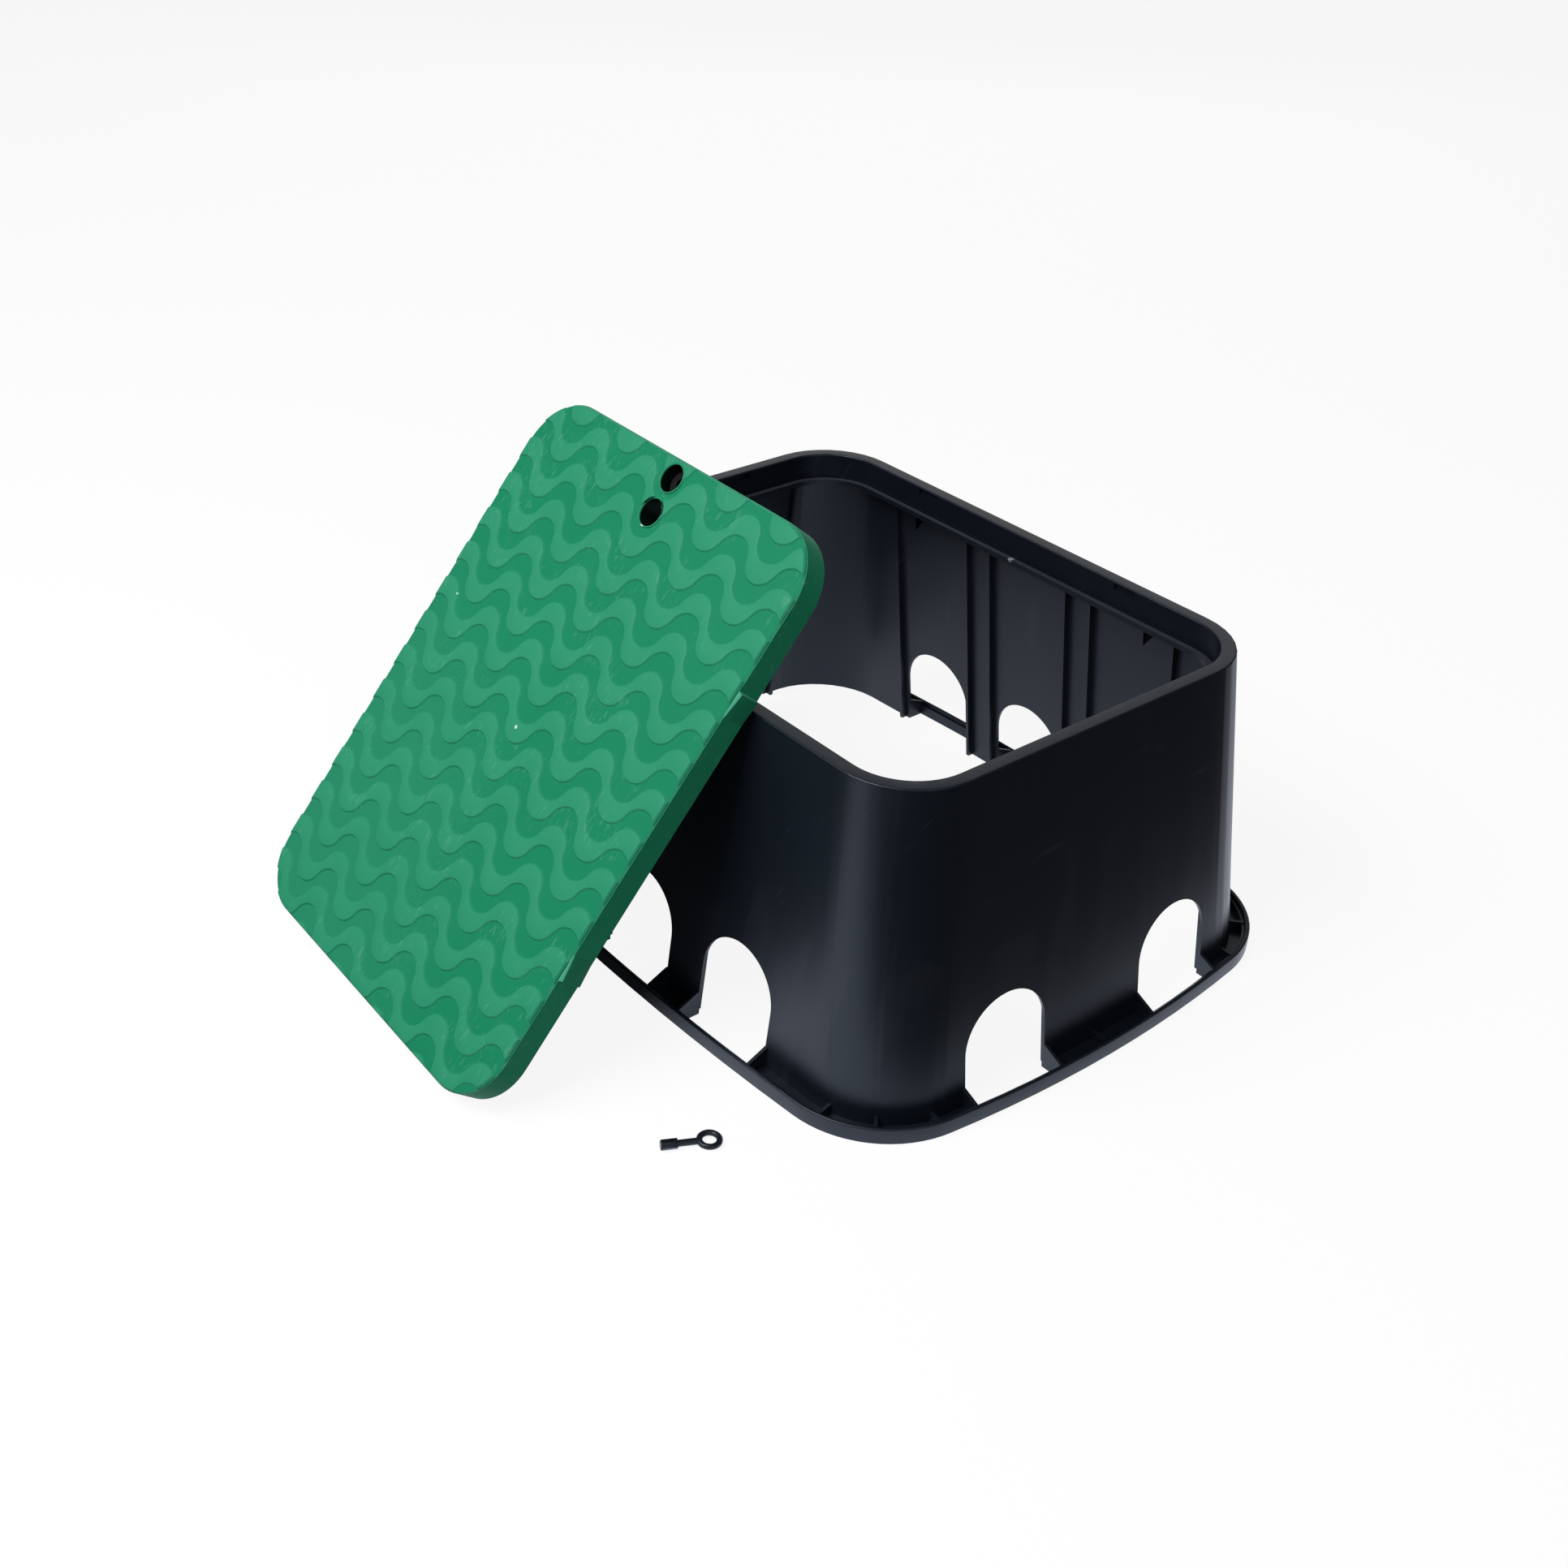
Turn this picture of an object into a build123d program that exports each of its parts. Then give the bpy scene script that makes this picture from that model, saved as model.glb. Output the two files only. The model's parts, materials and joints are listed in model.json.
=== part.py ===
from build123d import *
import os
from math import asin, atan2, ceil, cos, degrees, radians, sin, tan

os.makedirs("parts", exist_ok=True)

# Box body: a tapered wall that stands on a channel-shaped flange, in millimetres
box_height = 305
rim_length = 578
rim_width = 432
rim_radius = 72
rim_face = 14
rim_thickness = 4
rim_edge = 1.5
rim_edge_turns = (0, 45, 90)
wall = 3
base_length = 631
base_width = 491
base_radius = 73
base_bow_end = 12.5
base_bow_side = 11
corner_steps = 9
side_steps = 6

# Seat for the lid, inside the rim
collar = 4
seat_width = 5.5
seat_thickness = 5
notch_length_side = 26
notch_length_end = 15
notch_height = 6
notch_depth = 2.5
notch_drop = 2
notch_offset_end = 79

# Pipe arches through the walls
arch_width = 90
arch_height_side = 100
arch_height_end = 96
arch_pitch_side = 136
arch_pitch_end = 209
arches_side = 3
arches_end = 2

# Flange round the foot, with its upturned lip
flange_length = 646
flange_width = 522
flange_radius = 105
flange_bow_end = 26.5
flange_bow_side = 18.5
flange_floor = 4
lip_height = 15
lip_thickness = 4
lip_step_height = 11
lip_step_width = 2.5
lip_edge = 1.2

# Ribs inside the wall, gussets outside it and low ribs across the channel
rib_thickness = 3.5
rib_depth = 6
rib_beside_arch = 5
gusset_thickness = 3
gusset_height = 24
gusset_run = 24
channel_rib_height = 12
channel_rib_thickness = 3
channel_rib_angles = (0, 40, 78)
channel_rib_hub = 76

# Blind triangular pockets under the seat
pocket_width = 16
pocket_height = 20
pocket_offset = 156
pocket_below_seat = 9
pocket_depth = 1.5

# Lid
lid_gap_end = 3.5
lid_gap_side = 1
lid_depth = 26
lid_plate = 4
lid_edge = 2
skirt = 4
lid_rib_thickness = 2.6
lid_rib_depth = 21.3
lid_ribs_along = 5
lid_rib_pitch_along = 65
lid_ribs_across = 7
lid_rib_pitch_across = 66

# Snap lugs on the skirt, which meet the notches in the box
lug_offset = 132
lug_length = 20
lug_proud = 3.5
lug_height = 4
lug_drop = 3

# Wave tread on the lid's face: rows of raised bands with arc-shaped edges
tread_height = 1.5
wave_length = 75
wave_swing = 28
row_pitch = 37.7
band_width = 19
first_trough = 33
facets_per_arc = 4

# Lock well and lifting hole in the lid
well_diameter = 26
well_from_edge = 18
well_floor_depth = 20
boss_wall = 4.5
lift_hole_diameter = 26
lift_hole_pitch = 34
lift_collar_depth = 22

# Quarter-turn lock
stem_diameter = 12
running_gap = 0.05
axial_gap = 0.1
head_gap = 0.8
head_height = 8
head_edge = 1
hex_socket_depth = 6.5
key_gap = 0.2
drive_square = 8
fit_gap = 0.05
cam_gap = 0.8
cam_thickness = 4
cam_width = 15
cam_reach = 24
screw_diameter = 5
screw_length = 10
screw_head_diameter = 10
screw_head_height = 3
screw_head_edge = 0.8
screw_slot_width = 1.2
screw_slot_depth = 1.2

# Key: a ring, a round shank and a hexagonal driving end
key_hex = 8
key_hex_length = 14
key_hex_edge = 0.6
key_shank_diameter = 5.8
key_ring_radius = 8.4
key_ring_section = 5
key_ring_facets = 8
key_ring_steps = 24
key_reach = 40.5
key_end_x = 208.7
key_end_y = -380
key_heading = 64.7

# How the lid leans: its lower edge on the ground, its ribs against the rim
lean = 50.4
lid_heading = -1.95
lid_shift = -82.4
rest_gap = 0.3


def bowed_outline(plane, length, width, radius, bow_end=0, bow_side=0):
    # A rectangle with rounded corners whose sides may bow outward
    x = length / 2
    y = width / 2
    corners = [(-x, -y), (x, -y), (x, y), (-x, y)]
    middles = [(0, -y - bow_side), (x + bow_end, 0), (0, y + bow_side), (-x - bow_end, 0)]
    with BuildSketch(plane) as shape:
        with BuildLine():
            for i, middle in enumerate(middles):
                start = corners[i]
                end = corners[(i + 1) % 4]
                if bow_end or bow_side:
                    ThreePointArc(start, middle, end)
                else:
                    Line(start, end)
        make_face()
        fillet(shape.vertices(), radius)
    return shape.sketch


def wall_section(height, length, width, radius, bow_end=0, bow_side=0):
    # A bowed outline in short straight steps, the same number in every one
    x = length / 2
    y = width / 2
    hubs = [Vector(i * (x - radius), j * (y - radius)) for i, j in ((1, 1), (-1, 1), (-1, -1), (1, -1))]
    points = []
    for quarter, hub in enumerate(hubs):
        side = hubs[(quarter + 1) % 4] - hub
        arc = [(hub, quarter + step / corner_steps) for step in range(corner_steps)]
        straight = [(hub + side * (step / side_steps), quarter + 1) for step in range(side_steps)]
        for middle, turn in arc + straight:
            px = middle.X + radius * cos(radians(90 * turn))
            py = middle.Y + radius * sin(radians(90 * turn))
            out_x = bow_end * (1 - (py / y) ** 2) * px / x
            out_y = bow_side * (1 - (px / x) ** 2) * py / y
            points.append((px + out_x, py + out_y))
    with BuildSketch(Plane.XY.offset(height)) as shape:
        Polygon(*points, align=None)
    return shape.sketch


def base_section(inset):
    # The wall's outline at the ground, moved inward by inset
    return wall_section(
        0,
        base_length - 2 * inset,
        base_width - 2 * inset,
        base_radius - inset,
        base_bow_end,
        base_bow_side,
    )


def rim_section(height, inset):
    # The wall's outline at the rim, moved inward by inset
    return wall_section(
        height,
        rim_length - 2 * inset,
        rim_width - 2 * inset,
        rim_radius - inset,
    )


def rim_outline(height, inset):
    # The rim's outline, moved inward by inset
    return bowed_outline(
        Plane.XY.offset(height),
        rim_length - 2 * inset,
        rim_width - 2 * inset,
        rim_radius - inset,
    )


def flange_outline(height, inset):
    # The flange's outline, moved inward by inset
    return bowed_outline(
        Plane.XY.offset(height),
        flange_length - 2 * inset,
        flange_width - 2 * inset,
        flange_radius - inset,
        flange_bow_end,
        flange_bow_side,
    )


def lid_outline(height, inset):
    # The lid's outline, moved inward by inset
    return bowed_outline(
        Plane.XY.offset(height),
        lid_width - 2 * inset,
        lid_length - 2 * inset,
        lid_radius - inset,
    )


def rim_edge_steps(inset, way):
    # Height and inset up a rounded edge of the rim, from its side to its top
    return [
        (
            box_height - rim_edge * (1 - sin(radians(turn))),
            inset + way * rim_edge * (1 - cos(radians(turn))),
        )
        for turn in rim_edge_turns
    ]


def wall_block(inset):
    # The tapered block inside the wall's outer face, moved inward by inset
    with BuildPart() as block:
        loft([base_section(inset), rim_section(box_height, inset)], ruled=True)
    return block.part


def beside(middles, offset):
    # Places at both sides of each middle
    return [middle + side * offset for middle in middles for side in (-1, 1)]


def centred(count, pitch):
    # Places of equally spaced things about zero
    return [(i - (count - 1) / 2) * pitch for i in range(count)]


def wave(trough):
    # Points along a row of arcs that turn up and down by turns
    points = []
    waves = ceil(lid_width / wave_length / 2)
    for i in range(-2 * waves, 2 * waves + 1):
        for j in range(facets_per_arc):
            turn = arc_angle * (j / facets_per_arc - 0.5)
            dip = arc_radius * (1 - cos(turn))
            rise = dip if i % 2 == 0 else wave_swing - dip
            points.append((i * wave_length / 2 + arc_radius * sin(turn), trough + rise))
    return points


arches_on_side = centred(arches_side, arch_pitch_side)
arches_on_end = centred(arches_end, arch_pitch_end)
seat_height = box_height - lid_depth
recess_length = rim_length - 2 * rim_face
recess_width = rim_width - 2 * rim_face
lid_length = recess_length - 2 * lid_gap_end
lid_width = recess_width - 2 * lid_gap_side
lid_radius = rim_radius - rim_face - lid_gap_end
plate_top = -tread_height
plate_middle = plate_top - lid_plate / 2
arc_radius = ((wave_length / 4) ** 2 + (wave_swing / 2) ** 2) / wave_swing
arc_angle = 2 * asin(wave_length / 4 / arc_radius)
well_y = lid_length / 2 - well_from_edge
lift_y = well_y - lift_hole_pitch
cam_top = -(lid_depth + seat_thickness + cam_gap)
boss_bottom = cam_top + axial_gap

# Inner and middle surfaces of the wall, as solid blocks
wall_space = wall_block(wall)
wall_middle = wall_block(wall / 2)

# Ribs down the inside of the wall, one beside each edge of every arch
with BuildPart() as inner_ribs:
    with BuildSketch():
        rib_offset = arch_width / 2 + rib_beside_arch + rib_thickness / 2
        with Locations(*[(x, 0) for x in beside(arches_on_side, rib_offset)]):
            Rectangle(rib_thickness, flange_width)
        with Locations(*[(0, y) for y in beside(arches_on_end, rib_offset)]):
            Rectangle(flange_length, rib_thickness)
    extrude(amount=box_height - rim_thickness / 2)
    add(wall_middle, mode=Mode.INTERSECT)
    add(wall_block(wall + rib_depth), mode=Mode.SUBTRACT)

# Gussets outside the wall, sloping from it down to the lip
with BuildPart() as gussets:
    extrude(flange_outline(0, lip_thickness / 2), amount=lip_height - lip_edge)
    loft(
        [
            flange_outline(lip_height - lip_edge, lip_thickness / 2),
            flange_outline(gusset_height, gusset_run),
        ],
        ruled=True,
    )
    with BuildSketch():
        gusset_offset = arch_width / 2 + gusset_thickness / 2
        with Locations(*[(x, 0) for x in beside(arches_on_side, gusset_offset)]):
            Rectangle(gusset_thickness, 2 * flange_width)
        with Locations(*[(0, y) for y in beside(arches_on_end, gusset_offset)]):
            Rectangle(2 * flange_length, gusset_thickness)
    extrude(amount=gusset_height, mode=Mode.INTERSECT)
    add(wall_middle, mode=Mode.SUBTRACT)

# Low ribs across the channel, at the corners and in the middle of each end
with BuildPart() as channel_ribs:
    with BuildSketch():
        reach = channel_rib_hub + flange_bow_end
        for quarter, (sx, sy) in enumerate([(1, 1), (-1, 1), (-1, -1), (1, -1)]):
            middle_x = sx * (flange_length / 2 - channel_rib_hub)
            middle_y = sy * (flange_width / 2 - channel_rib_hub)
            for angle in channel_rib_angles:
                turn = 90 * quarter + (angle if quarter % 2 == 0 else 90 - angle)
                with Locations(Location((middle_x, middle_y), turn)):
                    Rectangle(reach, channel_rib_thickness, align=(Align.MIN, Align.CENTER))
        Rectangle(2 * flange_length, channel_rib_thickness)
    extrude(amount=channel_rib_height)
    extrude(flange_outline(0, lip_thickness / 2), amount=channel_rib_height, mode=Mode.INTERSECT)
    add(wall_middle, mode=Mode.SUBTRACT)

# Blind triangular pockets in the inside of the long walls
with BuildPart() as pockets:
    with BuildSketch(Plane.XZ):
        pocket_top = seat_height - seat_thickness - pocket_below_seat
        for x in (-pocket_offset, pocket_offset):
            with Locations((x - pocket_width / 2, pocket_top)):
                Polygon((0, 0), (pocket_width, 0), (0, -pocket_height), align=None)
    extrude(amount=base_width / 2, both=True)
    add(wall_block(wall - pocket_depth), mode=Mode.INTERSECT)

with BuildPart() as box_body:
    outer_edge = [rim_section(height, inset) for height, inset in rim_edge_steps(0, 1)]
    loft([base_section(0), *outer_edge], ruled=True)
    extrude(flange_outline(0, 0), amount=flange_floor)
    # Arches through the walls and the flange's floor, long sides first
    spring = arch_height_side - arch_width / 2
    with BuildSketch(Plane.XZ):
        with Locations(*[(x, 0) for x in arches_on_side]):
            Rectangle(arch_width, spring, align=(Align.CENTER, Align.MIN))
        with Locations(*[(x, spring) for x in arches_on_side]):
            Circle(arch_width / 2)
    extrude(amount=flange_width, both=True, mode=Mode.SUBTRACT)
    spring = arch_height_end - arch_width / 2
    with BuildSketch(Plane.YZ):
        with Locations(*[(y, 0) for y in arches_on_end]):
            Rectangle(arch_width, spring, align=(Align.CENTER, Align.MIN))
        with Locations(*[(y, spring) for y in arches_on_end]):
            Circle(arch_width / 2)
    extrude(amount=flange_length, both=True, mode=Mode.SUBTRACT)
    # Upturned lip round the flange, with a low step inside it
    with BuildSketch(Plane.XY):
        add(flange_outline(0, 0))
        add(flange_outline(0, lip_thickness + lip_step_width), mode=Mode.SUBTRACT)
    extrude(amount=lip_step_height)
    with BuildSketch(Plane.XY):
        add(flange_outline(0, 0))
        add(flange_outline(0, lip_thickness), mode=Mode.SUBTRACT)
    extrude(amount=lip_height)
    lip_top = box_body.faces().filter_by(Plane.XY).filter_by(
        lambda face: abs(face.center().Z - lip_height) < lip_edge / 2
    )
    chamfer(lip_top.edges(), lip_edge)
    add(wall_space, mode=Mode.SUBTRACT)
    # Rim, collar and seat in one turn-in of the wall
    extrude(
        rim_outline(box_height - rim_thickness, (rim_edge + wall) / 2),
        amount=rim_thickness,
    )
    extrude(
        rim_outline(seat_height - seat_thickness, rim_face - collar),
        amount=lid_depth + seat_thickness,
    )
    extrude(rim_outline(seat_height, rim_face), amount=lid_depth, mode=Mode.SUBTRACT)
    inner_edge = [rim_outline(height, inset) for height, inset in rim_edge_steps(rim_face, -1)]
    loft(inner_edge, ruled=True, mode=Mode.SUBTRACT)
    extrude(
        rim_outline(seat_height - seat_thickness, rim_face + seat_width),
        amount=seat_thickness,
        mode=Mode.SUBTRACT,
    )
    # Notches high in the wall of the recess, for the lid's lugs
    with Locations((0, 0, box_height - notch_drop - notch_height / 2)):
        with GridLocations(2 * lug_offset, 0, 2, 1):
            Box(
                notch_length_side,
                recess_width + 2 * notch_depth,
                notch_height,
                mode=Mode.SUBTRACT,
            )
        with GridLocations(0, 2 * notch_offset_end, 1, 2):
            Box(
                recess_length + 2 * notch_depth,
                notch_length_end,
                notch_height,
                mode=Mode.SUBTRACT,
            )
    add(pockets.part, mode=Mode.SUBTRACT)
    add(inner_ribs.part)
    add(gussets.part)
    add(channel_ribs.part)

# The lid lies flat while it is shaped, with its face at zero and its length along Y
with BuildPart() as lid:
    extrude(lid_outline(-lid_depth, 0), amount=lid_depth - tread_height)
    chamfer(lid.faces().sort_by(Axis.Z)[-1].edges(), lid_edge)
    extrude(
        lid_outline(-lid_depth, skirt),
        amount=lid_depth - tread_height - lid_plate,
        mode=Mode.SUBTRACT,
    )
    # Rib grid under the plate
    with BuildSketch(Plane.XY.offset(-lid_rib_depth)):
        with GridLocations(lid_rib_pitch_along, 0, lid_ribs_along, 1):
            Rectangle(lid_rib_thickness, lid_length)
        with GridLocations(0, lid_rib_pitch_across, 1, lid_ribs_across):
            Rectangle(lid_width, lid_rib_thickness)
        add(lid_outline(-lid_rib_depth, skirt / 2), mode=Mode.INTERSECT)
    extrude(amount=lid_rib_depth + plate_middle)
    # Boss of the lock well and collar of the lifting hole
    with BuildSketch(Plane.XY.offset(boss_bottom)):
        with Locations((0, well_y)):
            Circle(well_diameter / 2 + boss_wall)
    extrude(amount=plate_middle - boss_bottom)
    with BuildSketch(Plane.XY.offset(-lift_collar_depth)):
        with Locations((0, lift_y)):
            Circle(lift_hole_diameter / 2 + boss_wall)
    extrude(amount=plate_middle + lift_collar_depth)
    # Lugs high on the skirt, two on each long side
    with BuildSketch(Plane.XY.offset(-lug_drop - lug_height)):
        with GridLocations(lid_width, 2 * lug_offset, 2, 2):
            Rectangle(2 * lug_proud, lug_length)
    extrude(amount=lug_height)
    # Raised wave bands over the whole face
    with BuildSketch(Plane.XY.offset(plate_top)):
        for row in range(-2, ceil(lid_length / row_pitch)):
            trough = first_trough - lid_length / 2 + row * row_pitch
            with BuildLine():
                Polyline(*wave(trough), *reversed(wave(trough + band_width)), close=True)
            make_face()
        add(lid_outline(plate_top, lid_edge), mode=Mode.INTERSECT)
    extrude(amount=tread_height)
    # Lock well with the bore for the lock's stem, and the lifting hole
    with BuildSketch(Plane.XY):
        with Locations((0, well_y)):
            Circle(well_diameter / 2)
    extrude(amount=-well_floor_depth, mode=Mode.SUBTRACT)
    with BuildSketch(Plane.XY):
        with Locations((0, well_y)):
            Circle(stem_diameter / 2 + running_gap)
        with Locations((0, lift_y)):
            Circle(lift_hole_diameter / 2)
    extrude(amount=2 * boss_bottom, mode=Mode.SUBTRACT)

# Lock barrel: a round head in the well, a stem through its floor and a square end
with BuildPart() as lock_barrel:
    head_bottom = -well_floor_depth + axial_gap
    with BuildSketch(Plane.XY.offset(head_bottom)):
        Circle(well_diameter / 2 - head_gap)
    extrude(amount=head_height)
    chamfer(lock_barrel.faces().sort_by(Axis.Z)[-1].edges(), head_edge)
    with BuildSketch(Plane.XY.offset(head_bottom)):
        Circle(stem_diameter / 2)
    extrude(amount=cam_top - head_bottom)
    with BuildSketch(Plane.XY.offset(cam_top)):
        Rectangle(drive_square, drive_square)
    extrude(amount=-cam_thickness)
    # Six-sided socket for the key, and the hole for the screw
    with BuildSketch(Plane.XY.offset(head_bottom + head_height)):
        RegularPolygon((key_hex + 2 * key_gap) / 2, 6, major_radius=False)
    extrude(amount=-hex_socket_depth, mode=Mode.SUBTRACT)
    with BuildSketch(Plane.XY.offset(cam_top - cam_thickness)):
        Circle(screw_diameter / 2 + fit_gap)
    extrude(amount=screw_length + fit_gap, mode=Mode.SUBTRACT)

# Cam: a flat tongue with a square hole, which turns under the seat of the box
with BuildPart() as lock_cam:
    with BuildSketch(Plane.XY.offset(cam_top)):
        Circle(cam_width / 2)
        with Locations((0, 0)):
            Rectangle(cam_reach - cam_width / 2, cam_width, align=(Align.MIN, Align.CENTER))
        with Locations((cam_reach - cam_width / 2, 0)):
            Circle(cam_width / 2)
        Rectangle(drive_square + 2 * fit_gap, drive_square + 2 * fit_gap, mode=Mode.SUBTRACT)
    extrude(amount=-cam_thickness)

# Screw that holds the cam on the barrel's square end
with BuildPart() as lock_screw:
    with BuildSketch(Plane.XY.offset(cam_top - cam_thickness)):
        Circle(screw_head_diameter / 2)
    extrude(amount=-screw_head_height)
    chamfer(lock_screw.faces().sort_by(Axis.Z)[0].edges(), screw_head_edge)
    with BuildSketch(Plane.XY.offset(cam_top - cam_thickness)):
        Circle(screw_diameter / 2)
    extrude(amount=screw_length)
    with Locations((0, 0, cam_top - cam_thickness - screw_head_height)):
        Box(
            screw_head_diameter,
            screw_slot_width,
            2 * screw_slot_depth,
            mode=Mode.SUBTRACT,
        )

# Key: it lies along X while it is shaped, from its driving end to the ring
with BuildPart() as key:
    with BuildSketch(Plane.YZ):
        RegularPolygon(key_hex / 2, 6, major_radius=False)
    extrude(amount=key_hex_length)
    chamfer(key.faces().sort_by(Axis.X)[0].edges(), key_hex_edge)
    with BuildSketch(Plane.YZ.offset(key_hex_length)):
        Circle(key_shank_diameter / 2)
    extrude(amount=key_reach - key_ring_radius - key_hex_length)
    with BuildLine() as ring_line:
        ring_turns = [radians(360 * step / key_ring_steps) for step in range(key_ring_steps)]
        ring_points = [
            (key_reach - key_ring_radius * cos(turn), key_ring_radius * sin(turn))
            for turn in ring_turns
        ]
        Polyline(*ring_points, close=True)
    with BuildSketch(Plane(ring_line.wire() @ 0, z_dir=ring_line.wire() % 0)):
        flat_down = 180 / key_ring_facets
        RegularPolygon(key_ring_section / 2, key_ring_facets, major_radius=False, rotation=flat_down)
    sweep(path=ring_line.wire(), transition=Transition.RIGHT)

# Key on the ground, on the shoulder of its hexagon and the far side of its ring
ring_flat = key_ring_section * tan(radians(180 / key_ring_facets))
ring_foot = key_reach + key_ring_radius + ring_flat / 2 / cos(radians(180 / key_ring_steps))
key_tilt = degrees(atan2((key_hex - key_ring_section) / 2, ring_foot - key_hex_length))
key_lift = key_hex / 2 * cos(radians(key_tilt)) + key_hex_length * sin(radians(key_tilt))
key_place = Location((key_end_x, key_end_y, key_lift), (0, 0, key_heading)) * Rotation(0, key_tilt, 0)

# Lid on the ground at its lower short edge, leaning its ribs on the corner of the rim
heading = radians(lid_heading)
tilt = radians(lean)
away_x = -sin(heading) * -sin(tilt)
away_y = cos(heading) * -sin(tilt)
rim_reach = (
    (rim_length / 2 - rim_radius) * abs(away_x)
    + (rim_width / 2 - rim_radius) * abs(away_y)
    + (rim_radius - rim_edge) * sin(tilt)
    + (box_height - rim_edge) * cos(tilt)
    + rim_edge
)
edge_height = lid_depth * cos(tilt)
foot = (cos(tilt) * edge_height - rim_reach - lid_rib_depth - rest_gap) / sin(tilt)
run = foot + lid_length / 2 * cos(tilt)
lid_plane = Plane(
    origin=(
        lid_shift * cos(heading) - run * sin(heading),
        lid_shift * sin(heading) + run * cos(heading),
        edge_height + lid_length / 2 * sin(tilt),
    ),
    x_dir=(cos(heading), sin(heading), 0),
    z_dir=(away_x, away_y, cos(tilt)),
)
lid_place = lid_plane.location
lock_place = lid_place * Location((0, well_y, 0))

# Every piece, named and set in its place
placed = {
    "box_body": box_body.part,
    "lid": lid_place * lid.part,
    "lock_barrel": lock_place * lock_barrel.part,
    "lock_cam": lock_place * lock_cam.part,
    "lock_screw": lock_place * lock_screw.part,
    "key": key_place * key.part,
}
nearest = min(piece.bounding_box().min.Y for piece in placed.values())
farthest = max(piece.bounding_box().max.Y for piece in placed.values())
to_middle = Location((0, -(nearest + farthest) / 2, 0))
for name, piece in placed.items():
    piece = to_middle * piece
    piece.label = name
    export_step(piece, f"parts/{name}.step")
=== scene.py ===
import bmesh
import bpy
import json
import math
import mathutils
import numpy as np
from mathutils import Matrix, Vector


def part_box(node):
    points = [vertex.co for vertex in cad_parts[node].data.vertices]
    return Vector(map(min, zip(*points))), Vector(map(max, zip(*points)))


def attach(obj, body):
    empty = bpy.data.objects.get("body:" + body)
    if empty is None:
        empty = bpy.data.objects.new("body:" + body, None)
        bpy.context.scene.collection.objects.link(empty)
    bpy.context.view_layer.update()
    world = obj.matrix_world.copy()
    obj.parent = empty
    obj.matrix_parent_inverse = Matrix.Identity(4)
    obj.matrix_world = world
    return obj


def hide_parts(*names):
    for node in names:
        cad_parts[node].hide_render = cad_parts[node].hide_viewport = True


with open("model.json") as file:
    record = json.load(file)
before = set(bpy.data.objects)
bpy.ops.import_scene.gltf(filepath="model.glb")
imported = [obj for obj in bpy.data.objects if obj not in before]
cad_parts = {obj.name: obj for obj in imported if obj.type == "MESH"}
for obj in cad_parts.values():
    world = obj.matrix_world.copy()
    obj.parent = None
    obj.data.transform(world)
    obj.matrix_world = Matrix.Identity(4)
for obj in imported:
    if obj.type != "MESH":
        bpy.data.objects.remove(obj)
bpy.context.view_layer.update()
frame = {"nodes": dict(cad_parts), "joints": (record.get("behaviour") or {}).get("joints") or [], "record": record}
nodes = frame["nodes"]
print("frame loaded:", sorted(nodes))

# Where the box stands, and how its lid leans, read from the frame
boxLow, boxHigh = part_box("box_body")
boxMiddle = (boxLow + boxHigh) / 2
lockJoint = frame["joints"][0]
lidNormal = Vector(lockJoint["axis"]).normalized()
lidAcross = Vector((0, 0, 1)).cross(lidNormal).normalized()
lidUp = lidNormal.cross(lidAcross)
lockPoint = Vector(lockJoint["pos_m"])


# Small helpers for objects and node trees
def addObject(name, data):
    thing = bpy.data.objects.new(name, data)
    bpy.context.collection.objects.link(thing)
    return thing


def addNode(tree, kind, place, **values):
    node = tree.nodes.new(kind)
    node.location = place
    for name, value in values.items():
        setattr(node, name, value)
    return node


def addMath(tree, operation, first, second, place):
    node = addNode(tree, "ShaderNodeMath", place, operation=operation)
    for socket, value in zip(node.inputs, (first, second)):
        if isinstance(value, (int, float)):
            socket.default_value = value
        else:
            tree.links.new(value, socket)
    return node.outputs[0]


def addRamp(tree, value, span, ends, place):
    node = addNode(tree, "ShaderNodeMapRange", place, interpolation_type="SMOOTHSTEP")
    node.inputs["From Min"].default_value, node.inputs["From Max"].default_value = span
    node.inputs["To Min"].default_value, node.inputs["To Max"].default_value = ends
    tree.links.new(value, node.inputs["Value"])
    return node.outputs[0]


def newGroup(name, inputs, outputs):
    group = bpy.data.node_groups.new(name, "ShaderNodeTree")
    for label, kind, value in inputs:
        socket = group.interface.new_socket(name=label, in_out="INPUT", socket_type=kind)
        socket.default_value = value
    for label, kind in outputs:
        group.interface.new_socket(name=label, in_out="OUTPUT", socket_type=kind)
    start = addNode(group, "NodeGroupInput", (-900, 0))
    end = addNode(group, "NodeGroupOutput", (900, 0))
    return group, start, end


# Camera
cameraLook = {
    "fromBox": (1.10458, -1.02797, 1.05400),
    "yaw": 139.554,
    "pitch": 32.442,
    "roll": 2.245,
    "lens": 42.604,
    "sensor": 36,
    "clipEnd": 50,
}


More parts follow.
